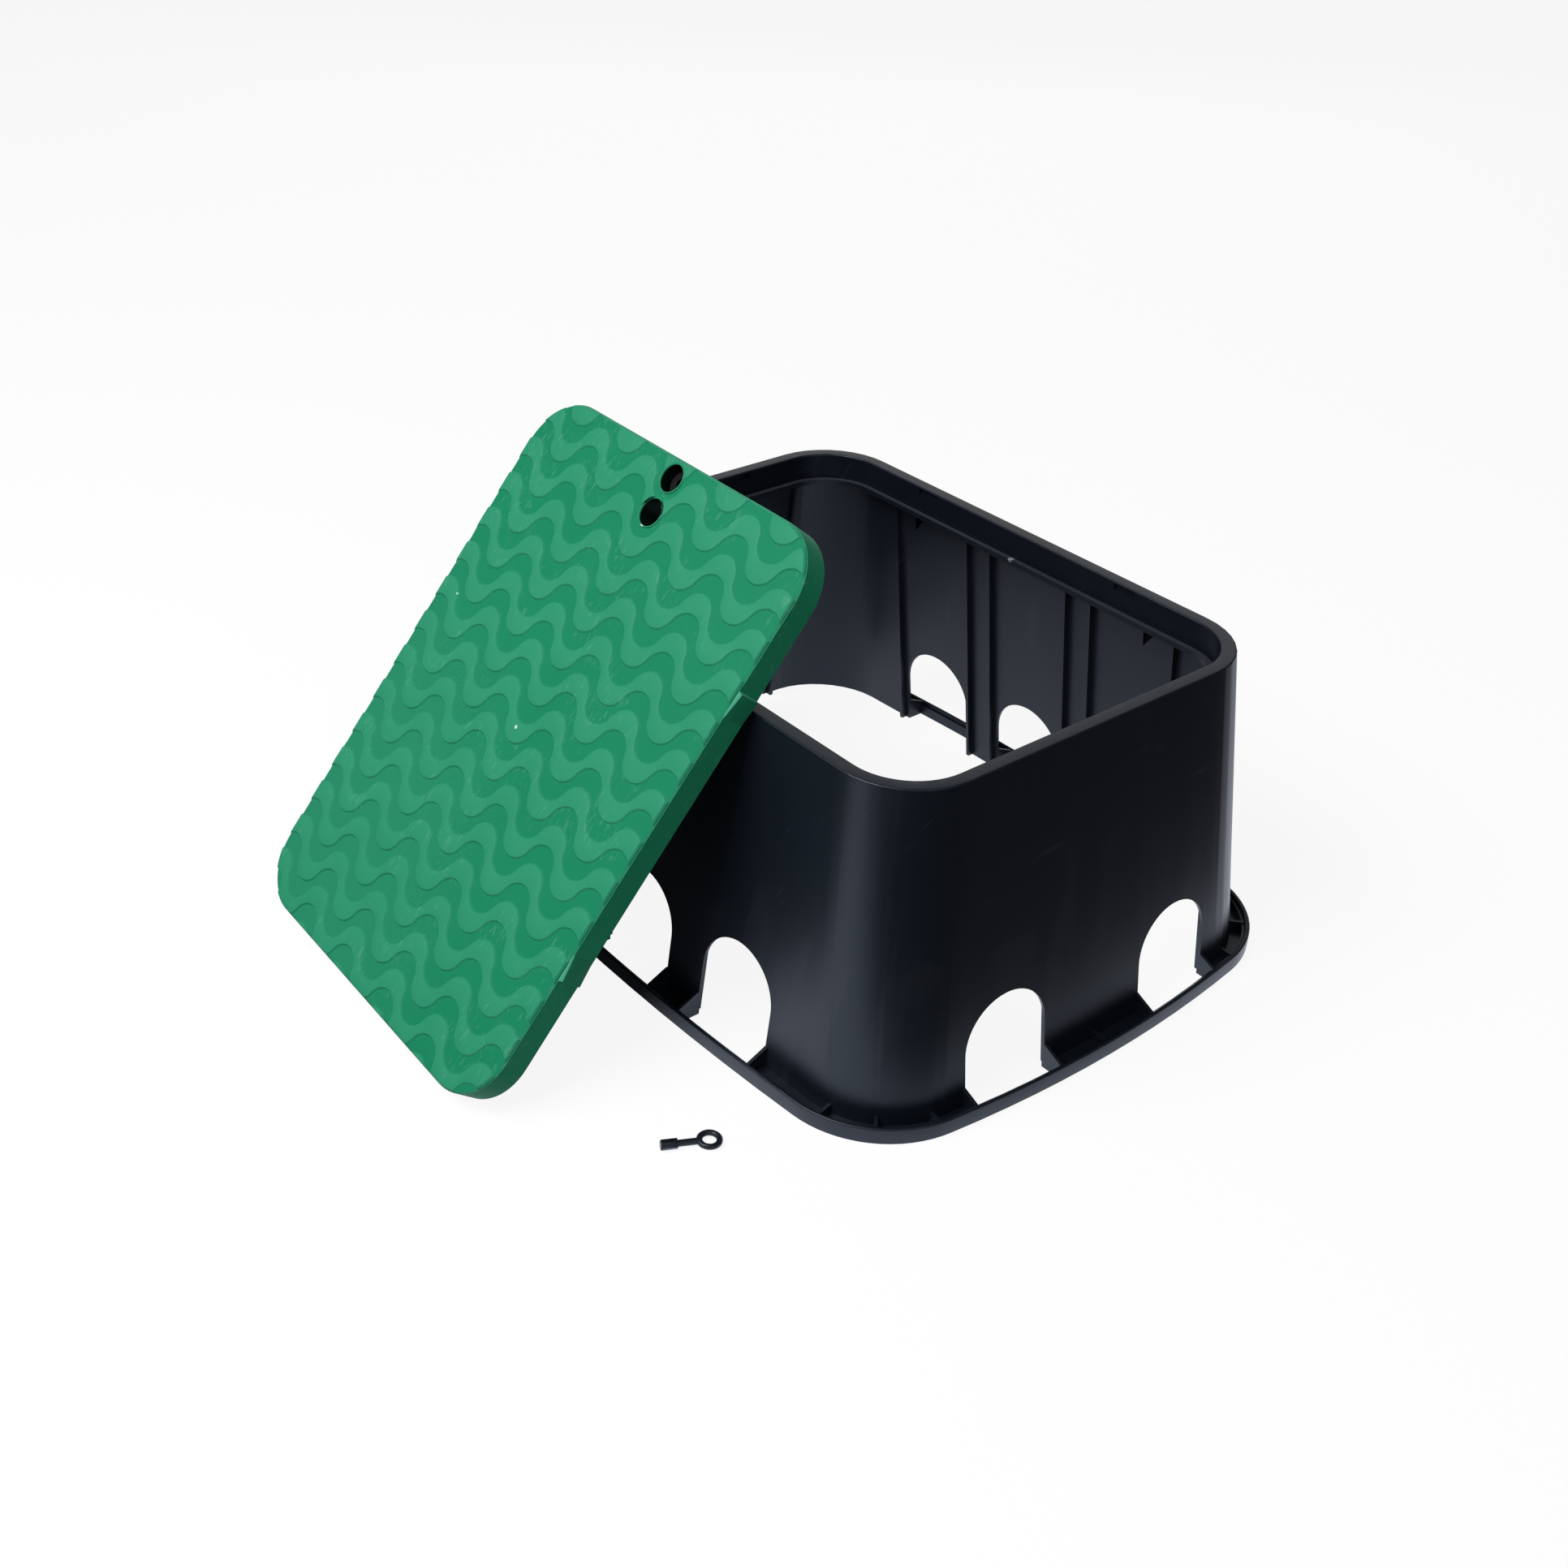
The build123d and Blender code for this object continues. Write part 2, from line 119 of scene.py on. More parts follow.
def placeCamera(look):
    yaw, pitch, roll = (math.radians(look[k]) for k in ("yaw", "pitch", "roll"))
    ahead = Vector((math.cos(pitch) * math.cos(yaw), math.cos(pitch) * math.sin(yaw), -math.sin(pitch)))
    right = ahead.cross(Vector((0, 0, 1))).normalized()
    up = right.cross(ahead)
    turnedRight = math.cos(roll) * right + math.sin(roll) * up
    turnedUp = -math.sin(roll) * right + math.cos(roll) * up
    camera = addObject("camera", bpy.data.cameras.new("camera"))
    camera.data.lens = look["lens"]
    camera.data.sensor_width = look["sensor"]
    camera.data.clip_end = look["clipEnd"]
    place = Matrix((turnedRight, turnedUp, -ahead)).transposed().to_4x4()
    place.translation = Vector((boxMiddle.x, boxMiddle.y, 0)) + Vector(look["fromBox"])
    camera.matrix_world = place
    bpy.context.scene.camera = camera


placeCamera(cameraLook)
print("camera placed")

# Light and surroundings
studio = {
    "keyFrom": (-0.30, -1.85, 2.25),
    "keySize": (1.8, 1.4),
    "keyPower": 68,
    "fillFrom": (2.6, -0.5, 1.6),
    "fillSize": (1.8, 1.5),
    "fillPower": 9,
    "backFrom": (-2.6, 2.4, 1.5),
    "backSize": (3.4, 2.0),
    "backPower": 14,
    "sky": 0.11,
    "frontSky": 0.26,
    "frontFrom": (0.2, -0.9),
    "floorGlow": 0.90,
    "floorColour": 0.12,
    "floorBounce": 0.15,
    # Painted reflection: the floor's glow for glossy rays, its colour and the masks that place it, down to
    # glossShare
    "reflectionGlow": 1.55,
    "sheenColour": (0.90, 0.95, 1.08),
    "sheenRise": (0.06, 0.20),
    "sheenSlant": -0.15,
    "sheenFall": (0.31, 0.45),
    "sheenRest": 0.03,
    "insideFrom": (-0.26, -0.22),
    "insideShare": 0.30,
    "fartherFrom": (-0.08, 0.24),
    "fartherShare": 0.30,
    "glossShare": 0.85,
    "floorSize": 60,
    "floorDrop": 0.0004,
    "white": (1, 1, 1, 1),
    "whiteStrength": 1,
}


def addLamp(name, origin, size, power):
    lamp = bpy.data.lights.new(name, "AREA")
    lamp.shape = "RECTANGLE"
    lamp.size, lamp.size_y = size
    lamp.energy = power
    holder = addObject(name, lamp)
    holder.location = boxMiddle + Vector(origin)
    holder.rotation_euler = (-Vector(origin)).to_track_quat("-Z", "Y").to_euler()


def buildStudio(s):
    # Three soft lamps, and a sky that only the object sees: behind it the camera sees white
    addLamp("keyLamp", s["keyFrom"], s["keySize"], s["keyPower"])
    addLamp("fillLamp", s["fillFrom"], s["fillSize"], s["fillPower"])
    addLamp("backLamp", s["backFrom"], s["backSize"], s["backPower"])
    world = bpy.data.worlds.new("studio")
    world.use_nodes = True
    bpy.context.scene.world = world
    tree = world.node_tree
    tree.nodes.clear()
    path = addNode(tree, "ShaderNodeLightPath", (-600, 0))
    dim = addNode(tree, "ShaderNodeBackground", (-300, -100))
    dim.inputs["Color"].default_value = s["white"]
    facing = addNode(tree, "ShaderNodeTexCoord", (-1000, -200))
    ways = addNode(tree, "ShaderNodeSeparateXYZ", (-800, -200))
    tree.links.new(facing.outputs["Generated"], ways.inputs[0])
    front = addRamp(tree, ways.outputs[1], s["frontFrom"], (s["sky"], s["frontSky"]), (-600, -200))
    tree.links.new(front, dim.inputs["Strength"])
    white = addNode(tree, "ShaderNodeBackground", (-300, 100))
    white.inputs["Color"].default_value = s["white"]
    white.inputs["Strength"].default_value = s["whiteStrength"]
    mix = addNode(tree, "ShaderNodeMixShader", (0, 0))
    out = addNode(tree, "ShaderNodeOutputWorld", (300, 0))
    tree.links.new(path.outputs["Is Camera Ray"], mix.inputs[0])
    tree.links.new(dim.outputs[0], mix.inputs[1])
    tree.links.new(white.outputs[0], mix.inputs[2])
    tree.links.new(mix.outputs[0], out.inputs["Surface"])

    mesh = bpy.data.meshes.new("floor")
    half = s["floorSize"] / 2
    corners = [(-half, -half, 0), (half, -half, 0), (half, half, 0), (-half, half, 0)]
    mesh.from_pydata([Vector(c) for c in corners], [], [(0, 1, 2, 3)])
    floor = addObject("floor", mesh)
    floor.location = (boxMiddle.x, boxMiddle.y, -s["floorDrop"])
    material = bpy.data.materials.new("studioFloor")
    material.use_nodes = True
    tree = material.node_tree
    tree.nodes.clear()
    path = addNode(tree, "ShaderNodeLightPath", (-600, 200))
    seen = addNode(tree, "ShaderNodeBsdfDiffuse", (-600, 0))
    seen.inputs["Color"].default_value = (s["floorColour"],) * 3 + (1,)
    glow = addNode(tree, "ShaderNodeEmission", (-600, -150))
    glow.inputs["Color"].default_value = s["white"]
    glow.inputs["Strength"].default_value = s["floorGlow"]
    both = addNode(tree, "ShaderNodeAddShader", (-350, -50))
    bounce = addNode(tree, "ShaderNodeBsdfDiffuse", (-350, 150))
    bounce.inputs["Color"].default_value = (s["floorBounce"],) * 3 + (1,)
    # Painted reflection: gloss sees the floor glow like pale paper in front of the box's near corner and inside
    # the box, though no lamp lights it there
    where = addNode(tree, "ShaderNodeTexCoord", (-1400, 350))
    apart = addNode(tree, "ShaderNodeSeparateXYZ", (-1200, 350))
    tree.links.new(where.outputs["Object"], apart.inputs[0])
    slanted = addMath(tree, "MULTIPLY_ADD", apart.outputs[1], s["sheenSlant"], (-1100, 650))
    tree.links.new(apart.outputs[0], slanted.node.inputs[2])
    rise = addRamp(tree, slanted, s["sheenRise"], (0, 1), (-1000, 550))
    fall = addRamp(tree, apart.outputs[0], s["sheenFall"], (1, 0), (-1000, 350))
    inside = addRamp(tree, apart.outputs[1], s["insideFrom"], (0, s["insideShare"]), (-1000, 150))
    farther = addRamp(tree, apart.outputs[1], s["fartherFrom"], (0, s["fartherShare"]), (-1000, -50))
    within = addMath(tree, "ADD", inside, farther, (-900, 150))
    nearer = addMath(tree, "MAXIMUM", rise, within, (-800, 450))
    between = addMath(tree, "MULTIPLY", nearer, fall, (-750, 350))
    reflectionGlowMask = addMath(tree, "MAXIMUM", between, s["sheenRest"], (-675, 350))
    strength = addMath(tree, "MULTIPLY", reflectionGlowMask, s["reflectionGlow"], (-600, 350))
    glossShare = addMath(tree, "MULTIPLY", path.outputs["Is Glossy Ray"], s["glossShare"], (-400, 500))
    sheen = addNode(tree, "ShaderNodeEmission", (-400, 350))
    sheen.inputs["Color"].default_value = (*s["sheenColour"], 1)
    glossGlowMix = addNode(tree, "ShaderNodeMixShader", (-200, 250))
    mix = addNode(tree, "ShaderNodeMixShader", (-100, 0))
    out = addNode(tree, "ShaderNodeOutputMaterial", (150, 0))
    tree.links.new(strength, sheen.inputs["Strength"])
    tree.links.new(glossShare, glossGlowMix.inputs[0])
    tree.links.new(bounce.outputs[0], glossGlowMix.inputs[1])
    tree.links.new(sheen.outputs[0], glossGlowMix.inputs[2])
    tree.links.new(seen.outputs[0], both.inputs[0])
    tree.links.new(glow.outputs[0], both.inputs[1])
    tree.links.new(path.outputs["Is Camera Ray"], mix.inputs[0])
    tree.links.new(glossGlowMix.outputs[0], mix.inputs[1])
    tree.links.new(both.outputs[0], mix.inputs[2])
    tree.links.new(mix.outputs[0], out.inputs["Surface"])
    mesh.materials.append(material)


buildStudio(studio)
bpy.context.scene.view_settings.view_transform = "Standard"
print("studio built")


# The lid's own frame: across, up along it, and out of its face
def lidFrame(skirtFrom):
    turn = Matrix((lidAcross, lidUp, lidNormal))
    points = [turn @ v.co for v in nodes["lid"].data.vertices]
    top = max(p.z for p in points)
    rim = [p for p in points if p.z < top - skirtFrom]
    low = Vector([min(p[i] for p in rim) for i in range(2)])
    high = Vector([max(p[i] for p in rim) for i in range(2)])
    middle = (low + high) / 2
    place = turn.transposed().to_4x4()
    place.translation = turn.transposed() @ Vector((middle.x, middle.y, top))
    return place, high - low


skirtFrom = 0.015  # below the rounded edge of the face and the lugs
lidPlace, lidSize = lidFrame(skirtFrom)
holeMiddles = [lidPlace.inverted() @ lockPoint]
for mount in frame["record"]["mounts"]:
    if mount["name"] == "lifting_hole":
        holeMiddles.append(lidPlace.inverted() @ Vector(mount["pos_m"]))


# Grain: fine uneven surface of moulded plastic, as masks and a normal
grainValues = {
    "fineDetail": 3,
    "broadDetail": 5,
    "bumpDistance": 0.0002,
}


def buildGrainGroup(values):
    group, start, end = newGroup(
        "mouldedGrain",
        [
            ("Scale", "NodeSocketFloat", 900.0),
            ("Depth", "NodeSocketFloat", 0.1),
            ("Patch Scale", "NodeSocketFloat", 14.0),
        ],
        [("Grain", "NodeSocketFloat"), ("Patches", "NodeSocketFloat"), ("Normal", "NodeSocketVector")],
    )
    place = addNode(group, "ShaderNodeTexCoord", (-900, -250))
    fine = addNode(group, "ShaderNodeTexNoise", (-500, 100))
    fine.inputs["Detail"].default_value = values["fineDetail"]
    broad = addNode(group, "ShaderNodeTexNoise", (-500, -250))
    broad.inputs["Detail"].default_value = values["broadDetail"]
    bump = addNode(group, "ShaderNodeBump", (200, 0))
    bump.inputs["Distance"].default_value = values["bumpDistance"]
    group.links.new(place.outputs["Object"], fine.inputs["Vector"])
    group.links.new(place.outputs["Object"], broad.inputs["Vector"])
    group.links.new(start.outputs["Scale"], fine.inputs["Scale"])
    group.links.new(start.outputs["Patch Scale"], broad.inputs["Scale"])
    group.links.new(fine.outputs[0], bump.inputs["Height"])
    group.links.new(start.outputs["Depth"], bump.inputs["Strength"])
    group.links.new(fine.outputs[0], end.inputs["Grain"])
    group.links.new(broad.outputs[0], end.inputs["Patches"])
    group.links.new(bump.outputs[0], end.inputs["Normal"])
    return group


# Scuffs: thin pale scratches drawn out along one way, broken up by broad patches
scuffValues = {
    "lineScale": 1.0,
    "lineDetail": 2.0,
    "lineBend": 0.6,
    "patchDetail": 3.0,
    "patchSpan": (0.48, 0.62),
    "sharpness": 14.0,
}


def buildScuffGroup(values):
    group, start, end = newGroup(
        "dragScuffs",
        [
            ("Stretch", "NodeSocketVector", (0.02, 0.02, 0.3)),
            ("Turn", "NodeSocketVector", (0.0, 0.0, 0.0)),
            ("Thinness", "NodeSocketFloat", 0.66),
            ("Spread", "NodeSocketFloat", 9.0),
        ],
        [("Scuffs", "NodeSocketFloat")],
    )
    place = addNode(group, "ShaderNodeTexCoord", (-1100, -250))
    drawn = addNode(group, "ShaderNodeMapping", (-850, 0), vector_type="TEXTURE")
    group.links.new(place.outputs["Object"], drawn.inputs["Vector"])
    group.links.new(start.outputs["Turn"], drawn.inputs["Rotation"])
    group.links.new(start.outputs["Stretch"], drawn.inputs["Scale"])
    lines = addNode(group, "ShaderNodeTexNoise", (-600, 100))
    lines.inputs["Scale"].default_value = values["lineScale"]
    lines.inputs["Detail"].default_value = values["lineDetail"]
    lines.inputs["Distortion"].default_value = values["lineBend"]
    patches = addNode(group, "ShaderNodeTexNoise", (-600, -250))
    patches.inputs["Detail"].default_value = values["patchDetail"]
    group.links.new(drawn.outputs[0], lines.inputs["Vector"])
    group.links.new(place.outputs["Object"], patches.inputs["Vector"])
    group.links.new(start.outputs["Spread"], patches.inputs["Scale"])
    over = addMath(group, "SUBTRACT", lines.outputs[0], start.outputs["Thinness"], (-300, 100))
    sharp = addMath(group, "MULTIPLY", over, values["sharpness"], (-150, 100))
    here = addRamp(group, patches.outputs[0], values["patchSpan"], (0, 1), (-300, -250))
    both = addMath(group, "MULTIPLY", sharp, here, (50, 0))
    kept = addNode(group, "ShaderNodeClamp", (250, 0))
    group.links.new(both, kept.inputs[0])
    group.links.new(kept.outputs[0], end.inputs["Scuffs"])
    return group


# Chip: a small ragged spot at one place on a piece
chipValues = {
    "raggedScale": 700.0,
    "raggedShare": 1.4,
    "edgeSpan": (1.3, 1.7),
}


def buildChipGroup(values):
    group, start, end = newGroup(
        "raggedChip",
        [("Place", "NodeSocketVector", (0.0, 0.0, 0.0)), ("Radius", "NodeSocketFloat", 0.002)],
        [("Chip", "NodeSocketFloat")],
    )
    place = addNode(group, "ShaderNodeTexCoord", (-900, 150))
    away = addNode(group, "ShaderNodeVectorMath", (-650, 100), operation="DISTANCE")
    ragged = addNode(group, "ShaderNodeTexNoise", (-650, -150))
    ragged.inputs["Scale"].default_value = values["raggedScale"]
    group.links.new(place.outputs["Object"], away.inputs[0])
    group.links.new(start.outputs["Place"], away.inputs[1])
    group.links.new(place.outputs["Object"], ragged.inputs["Vector"])
    share = addMath(group, "DIVIDE", away.outputs["Value"], start.outputs["Radius"], (-400, 100))
    uneven = addMath(group, "MULTIPLY", ragged.outputs[0], values["raggedShare"], (-400, -150))
    edge = addMath(group, "ADD", share, uneven, (-200, 0))
    spot = addRamp(group, edge, values["edgeSpan"], (1, 0), (0, 0))
    group.links.new(spot, end.inputs["Chip"])
    return group


grainGroup = buildGrainGroup(grainValues)
scuffGroup = buildScuffGroup(scuffValues)
chipGroup = buildChipGroup(chipValues)


def addScuffs(tree, look, place):
    scuffs = addNode(tree, "ShaderNodeGroup", place, node_tree=scuffGroup)
    scuffs.inputs["Stretch"].default_value = look["stretch"]
    scuffs.inputs["Turn"].default_value = look["turn"]
    scuffs.inputs["Thinness"].default_value = look["thinness"]
    scuffs.inputs["Spread"].default_value = look["spread"]
    return addMath(tree, "MULTIPLY", scuffs.outputs[0], look["strength"], (place[0] + 200, place[1]))


def mixColour(tree, share, first, second, place):
    mix = addNode(tree, "ShaderNodeMix", place, data_type="RGBA")
    for socket, colour in ((mix.inputs["A"], first), (mix.inputs["B"], second)):
        if isinstance(colour, tuple):
            socket.default_value = (*colour, 1)
        else:
            tree.links.new(colour, socket)
    tree.links.new(share, mix.inputs["Factor"])
    return mix.outputs["Result"]


def plasticMaterial(name, look):
    material = bpy.data.materials.new(name)
    material.use_nodes = True
    tree = material.node_tree
    shader = tree.nodes["Principled BSDF"]
    grain = addNode(tree, "ShaderNodeGroup", (-1300, 0), node_tree=grainGroup)
    grain.inputs["Scale"].default_value = look["grainScale"]
    grain.inputs["Depth"].default_value = look["grainDepth"]
    grain.inputs["Patch Scale"].default_value = look["patchScale"]
    patches = grain.outputs["Patches"]
    colour = mixColour(tree, patches, look["darkColour"], look["paleColour"], (-900, 150))
    roughSpan = (look["roughLow"], look["roughHigh"])
    rough = addRamp(tree, patches, look["patchSpan"], roughSpan, (-900, -150))
    for i, scuffs in enumerate(look["scuffs"]):
        share = addScuffs(tree, scuffs, (-1100, 400 + 150 * i))
        colour = mixColour(tree, share, colour, scuffs["colour"], (-700 + 150 * i, 200))
        rough = addMath(tree, "MULTIPLY_ADD", share, look["scuffRough"], (-700 + 150 * i, -150))
        rough.node.inputs[2].default_value = (look["roughLow"] + look["roughHigh"]) / 2
    for i, (place, radius) in enumerate(look["chips"]):
        chip = addNode(tree, "ShaderNodeGroup", (-900, 700 + 120 * i), node_tree=chipGroup)
        chip.inputs["Place"].default_value = place
        chip.inputs["Radius"].default_value = radius
        colour = mixColour(tree, chip.outputs[0], colour, look["chipColour"], (-400 + 40 * i, 400))
    tree.links.new(colour, shader.inputs["Base Color"])
    tree.links.new(rough, shader.inputs["Roughness"])
    tree.links.new(grain.outputs["Normal"], shader.inputs["Normal"])
    shader.inputs["Specular IOR Level"].default_value = look["gloss"]
    shader.inputs["Specular Tint"].default_value = (*look["glossTint"], 1)
    return material


# Places on the box, from its middle and the ground, and on the lid's face, from its middle
def boxSpot(x, y, z):
    return (boxMiddle.x + x, boxMiddle.y + y, z)


def lidSpot(x, y):
    return lidPlace @ Vector((x, y, 0))


boxLook = {
    "darkColour": (0.0042, 0.0066, 0.0115),
    "paleColour": (0.0066, 0.0098, 0.0160),
    "roughLow": 0.30,
    "roughHigh": 0.42,
    "gloss": 0.46,
    "glossTint": (0.80, 0.88, 1.0),
    "grainScale": 700.0,
    "grainDepth": 0.12,
    "patchScale": 9.0,
    "patchSpan": (0.3, 0.7),
    "scuffRough": 0.12,
    "scuffs": [
        {
            "stretch": (0.035, 0.035, 0.40),
            "turn": (0.0, 0.10, 0.0),
            "thinness": 0.52,
            "spread": 6.0,
            "strength": 0.22,
            "colour": (0.026, 0.029, 0.038),
        },
        {
            "stretch": (0.003, 0.05, 0.06),
            "turn": (0.0, 0.45, 0.0),
            "thinness": 0.66,
            "spread": 12.0,
            "strength": 0.30,
            "colour": (0.05, 0.055, 0.068),
        },
    ],
    "chips": [(boxSpot(-0.008, 0.1985, 0.279), 0.0034)],
    "chipColour": (0.30, 0.32, 0.36),
}
lidLook = {
    "darkColour": (0.018, 0.278, 0.142),
    "paleColour": (0.032, 0.325, 0.175),
    "roughLow": 0.42,
    "roughHigh": 0.56,
    "gloss": 0.24,
    "glossTint": (0.8, 1.0, 0.92),
    "grainScale": 900.0,
    "grainDepth": 0.10,
    "patchScale": 12.0,
    "patchSpan": (0.3, 0.7),
    "scuffRough": 0.12,
    "scuffs": [
        {
            "stretch": (0.0024, 0.010, 0.0035),
            "turn": lidPlace.to_euler(),
            "thinness": 0.58,
            "spread": 16.0,
            "strength": 0.22,
            "colour": (0.16, 0.45, 0.32),
        },
    ],
    "chips": [
        (lidSpot(-0.002, 0.001), 0.0022),
        (lidSpot(-0.158, -0.0185), 0.0019),
        (lidSpot(-0.171, 0.062), 0.0013),
        (lidSpot(holeMiddles[1].x - 0.001, holeMiddles[1].y - 0.0137), 0.0022),
        (lidSpot(-0.120, 0.118), 0.0011),
        (lidSpot(0.083, -0.141), 0.0011),
    ],
    "chipColour": (0.62, 0.78, 0.68),
}
recessLook = dict(
    lidLook,
    darkColour=(0.003, 0.225, 0.102),
    paleColour=(0.006, 0.255, 0.120),
    # Not a chip: one broad spot makes the plate paler toward its lower left corner
    chips=[(lidSpot(-0.24, -0.22), 0.34)],
    chipColour=(0.016, 0.262, 0.131),
)
# Painted light: the skirt's sides are a paler green than the face, standing in for light they lack; shadowLook
# paints the shadow under the top edge
skirtPaintedLightLook = dict(lidLook, darkColour=(0.018, 0.300, 0.150), paleColour=(0.028, 0.340, 0.175), gloss=0.08)
shadowLook = dict(skirtPaintedLightLook, darkColour=(0.010, 0.205, 0.100), paleColour=(0.014, 0.230, 0.112), chips=[])
# Painted highlight: the lid's rounded top edge and the lugs' ends are paler, as if lit from the right
edgeHighlightLook = dict(lidLook, darkColour=(0.06, 0.38, 0.24), paleColour=(0.10, 0.44, 0.29), chips=[])
# Painted shade: the walls inside the lid's two holes are near black
holeShadeLook = dict(
    lidLook,
    darkColour=(0.0006, 0.010, 0.006),
    paleColour=(0.0010, 0.014, 0.008),
    gloss=0.06,
    scuffs=[],
    chips=[],
)
lockLook = dict(boxLook, darkColour=(0.010, 0.009, 0.011), paleColour=(0.020, 0.018, 0.021), gloss=0.12)
# Painted shade: the floors of the small triangular pockets under the seat are near black
pocketShadeLook = dict(
    boxLook,
    darkColour=(0.0004, 0.0005, 0.0008),
    paleColour=(0.0008, 0.0010, 0.0014),
    gloss=0.03,
)
# Painted highlight: the lid's seat is paler on its upward face, as if lit from above
seatHighlightLook = dict(boxLook, darkColour=(0.030, 0.034, 0.043), paleColour=(0.048, 0.053, 0.065))
shadeLook = dict(boxLook, gloss=0.12)
steelLook = dict(
    boxLook,
    darkColour=(0.35, 0.35, 0.36),
    paleColour=(0.5, 0.5, 0.52),
    glossTint=(1.0, 1.0, 1.0),
)

boxPlastic = plasticMaterial("boxPlastic", boxLook)
lidPlastic = plasticMaterial("lidPlastic", lidLook)
lidRecess = plasticMaterial("lidRecess", recessLook)
lockPlastic = plasticMaterial("lockPlastic", lockLook)
lidHoleShade = plasticMaterial("lidHoleShade", holeShadeLook)
lidEdgeHighlight = plasticMaterial("lidEdgeHighlight", edgeHighlightLook)
lidSkirtPaintedLight = plasticMaterial("lidSkirtPaintedLight", skirtPaintedLightLook)
skirtShadow = plasticMaterial("skirtShadow", shadowLook)
plainSteel = plasticMaterial("zincPlate", steelLook)
pocketShade = plasticMaterial("pocketShade", pocketShadeLook)
seatPaintedHighlight = plasticMaterial("seatPaintedHighlight", seatHighlightLook)
recessShade = plasticMaterial("recessShade", shadeLook)
for nodeName, material in {
    "box_body": boxPlastic,
    "lid": lidPlastic,
    "lock_barrel": lockPlastic,
    "lock_cam": plainSteel,
    "lock_screw": plainSteel,
    "key": boxPlastic,
}.items():
    for slot in nodes[nodeName].material_slots:
        slot.material = material
print("materials set")

mergeDistance = 1e-6  # points nearer than this are one


def openCopy(nodeName, place):
    # A node's mesh as one skin, moved to a place of its own, to be worked on
    mesh = nodes[nodeName].data.copy()
    if mesh.has_custom_normals:
        mesh.attributes.remove(mesh.attributes["custom_normal"])
    mesh.transform(place)
    form = bmesh.new()
    form.from_mesh(mesh)
    bmesh.ops.remove_doubles(form, verts=form.verts, dist=mergeDistance)
    return mesh, form


def smoothCopy(nodeName, pieceName, sharpAngle):
    # A copy of a node with rounded shading and crisp corners
    mesh, form = openCopy(nodeName, Matrix.Identity(4))
    piece = addObject(pieceName, mesh)
    crispEdges(form, sharpAngle)
    form.to_mesh(mesh)
    form.free()
    evenNormals(piece)
    return piece


def crispEdges(form, sharpAngle):
    limit = math.radians(sharpAngle)
    form.normal_update()
    for face in form.faces:
        face.smooth = True
    for edge in form.edges:
        edge.smooth = edge.is_manifold and edge.calc_face_angle() < limit


def evenNormals(piece):
    even = piece.modifiers.new("evenNormals", "WEIGHTED_NORMAL")
    even.mode = "FACE_AREA"
    even.keep_sharp = True
    even.weight = 100  # the largest faces lead


def placePiece(piece, body, materials, replaced):
    indices = [face.material_index for face in piece.data.polygons]
    piece.data.materials.clear()
    for material in materials:
        piece.data.materials.append(material)
    piece.data.polygons.foreach_set("material_index", indices)
    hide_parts(*replaced)
    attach(piece, body)


def joinRings(form, rings):
    # Four-sided faces between each ring of points and the next
    for first, second in zip(rings, rings[1:]):
        for i in range(len(first)):
            j = (i + 1) % len(first)
            form.faces.new((first[i], first[j], second[j], second[i]))


def finishForm(name, form, place):
    # The worked form as an object, with its points in the world's own frame
    mesh = bpy.data.meshes.new(name)
    form.to_mesh(mesh)
    form.free()
    mesh.transform(place)
    return addObject(name, mesh)


# The lid's face, its tread and its shell, in the lid's own frame
lidShape = {
    "cornerRadius": 0.0545,
    "edge": 0.002,
    "treadHeight": 0.0015,
    "waveLength": 0.075,
    "waveSwing": 0.028,
    "rowPitch": 0.0377,
    "rowsBelow": 2,
    "bandWidth": 0.019,
    "firstTrough": 0.033,
    "wellRadius": 0.013,
    "arcSteps": 18,
    "cornerSteps": 24,
    "holeSteps": 64,
    "rounding": 0.0005,
    "roundTurns": (30, 60, 90),
    "flank": 0.0012,
    "flankFoot": 0.8,
    "bandRoot": 0.0003,
    "meetDistance": 1e-7,
    "leastPoints": 6,
    "nearestPoints": 2e-4,
    "mitreLimit": 0.5,
    "rimGap": 0.00002,
    "holeGap": 0.0001,
    "plateGap": 0.00001,
    "flushMerge": 1e-5,
    "shadeEnd": 0.0042,
    "holeMargin": 0.0002,
    "aroundHoles": 0.02,
    "outwardLeast": 0.1,
    "wallSlant": 0.5,
    "treadSharp": 28,
    "shellSharp": 35,
}


def waveLine(shape, halfWidth):
    # One row's lower edge, tangent arcs that turn up and down by turns
    quarter = shape["waveLength"] / 4
    swing = shape["waveSwing"]
    radius = (quarter**2 + (swing / 2) ** 2) / swing
    angle = 2 * math.asin(quarter / radius)
    count = math.ceil(halfWidth / quarter / 2) + 1
    line = []
    for i in range(-count, count + 1):
        for j in range(shape["arcSteps"]):
            turn = angle * (j / shape["arcSteps"] - 0.5)
            dip = radius * (1 - math.cos(turn))
            rise = dip if i % 2 == 0 else swing - dip
            line.append((i * 2 * quarter + radius * math.sin(turn), rise))
    return line


def roundedRectangle(halfX, halfY, radius, steps):
    corners = ((1, 1), (-1, 1), (-1, -1), (1, -1))
    points = []
    for quarter, (i, j) in enumerate(corners):
        for step in range(steps + 1):
            turn = math.radians(90 * (quarter + step / steps))
            x = i * (halfX - radius) + radius * math.cos(turn)
            y = j * (halfY - radius) + radius * math.sin(turn)
            points.append((x, y))
    return points


def circlePoints(middle, radius, steps):
    turns = [2 * math.pi * step / steps for step in range(steps)]
    return [(middle[0] + radius * math.cos(t), middle[1] + radius * math.sin(t)) for t in turns]


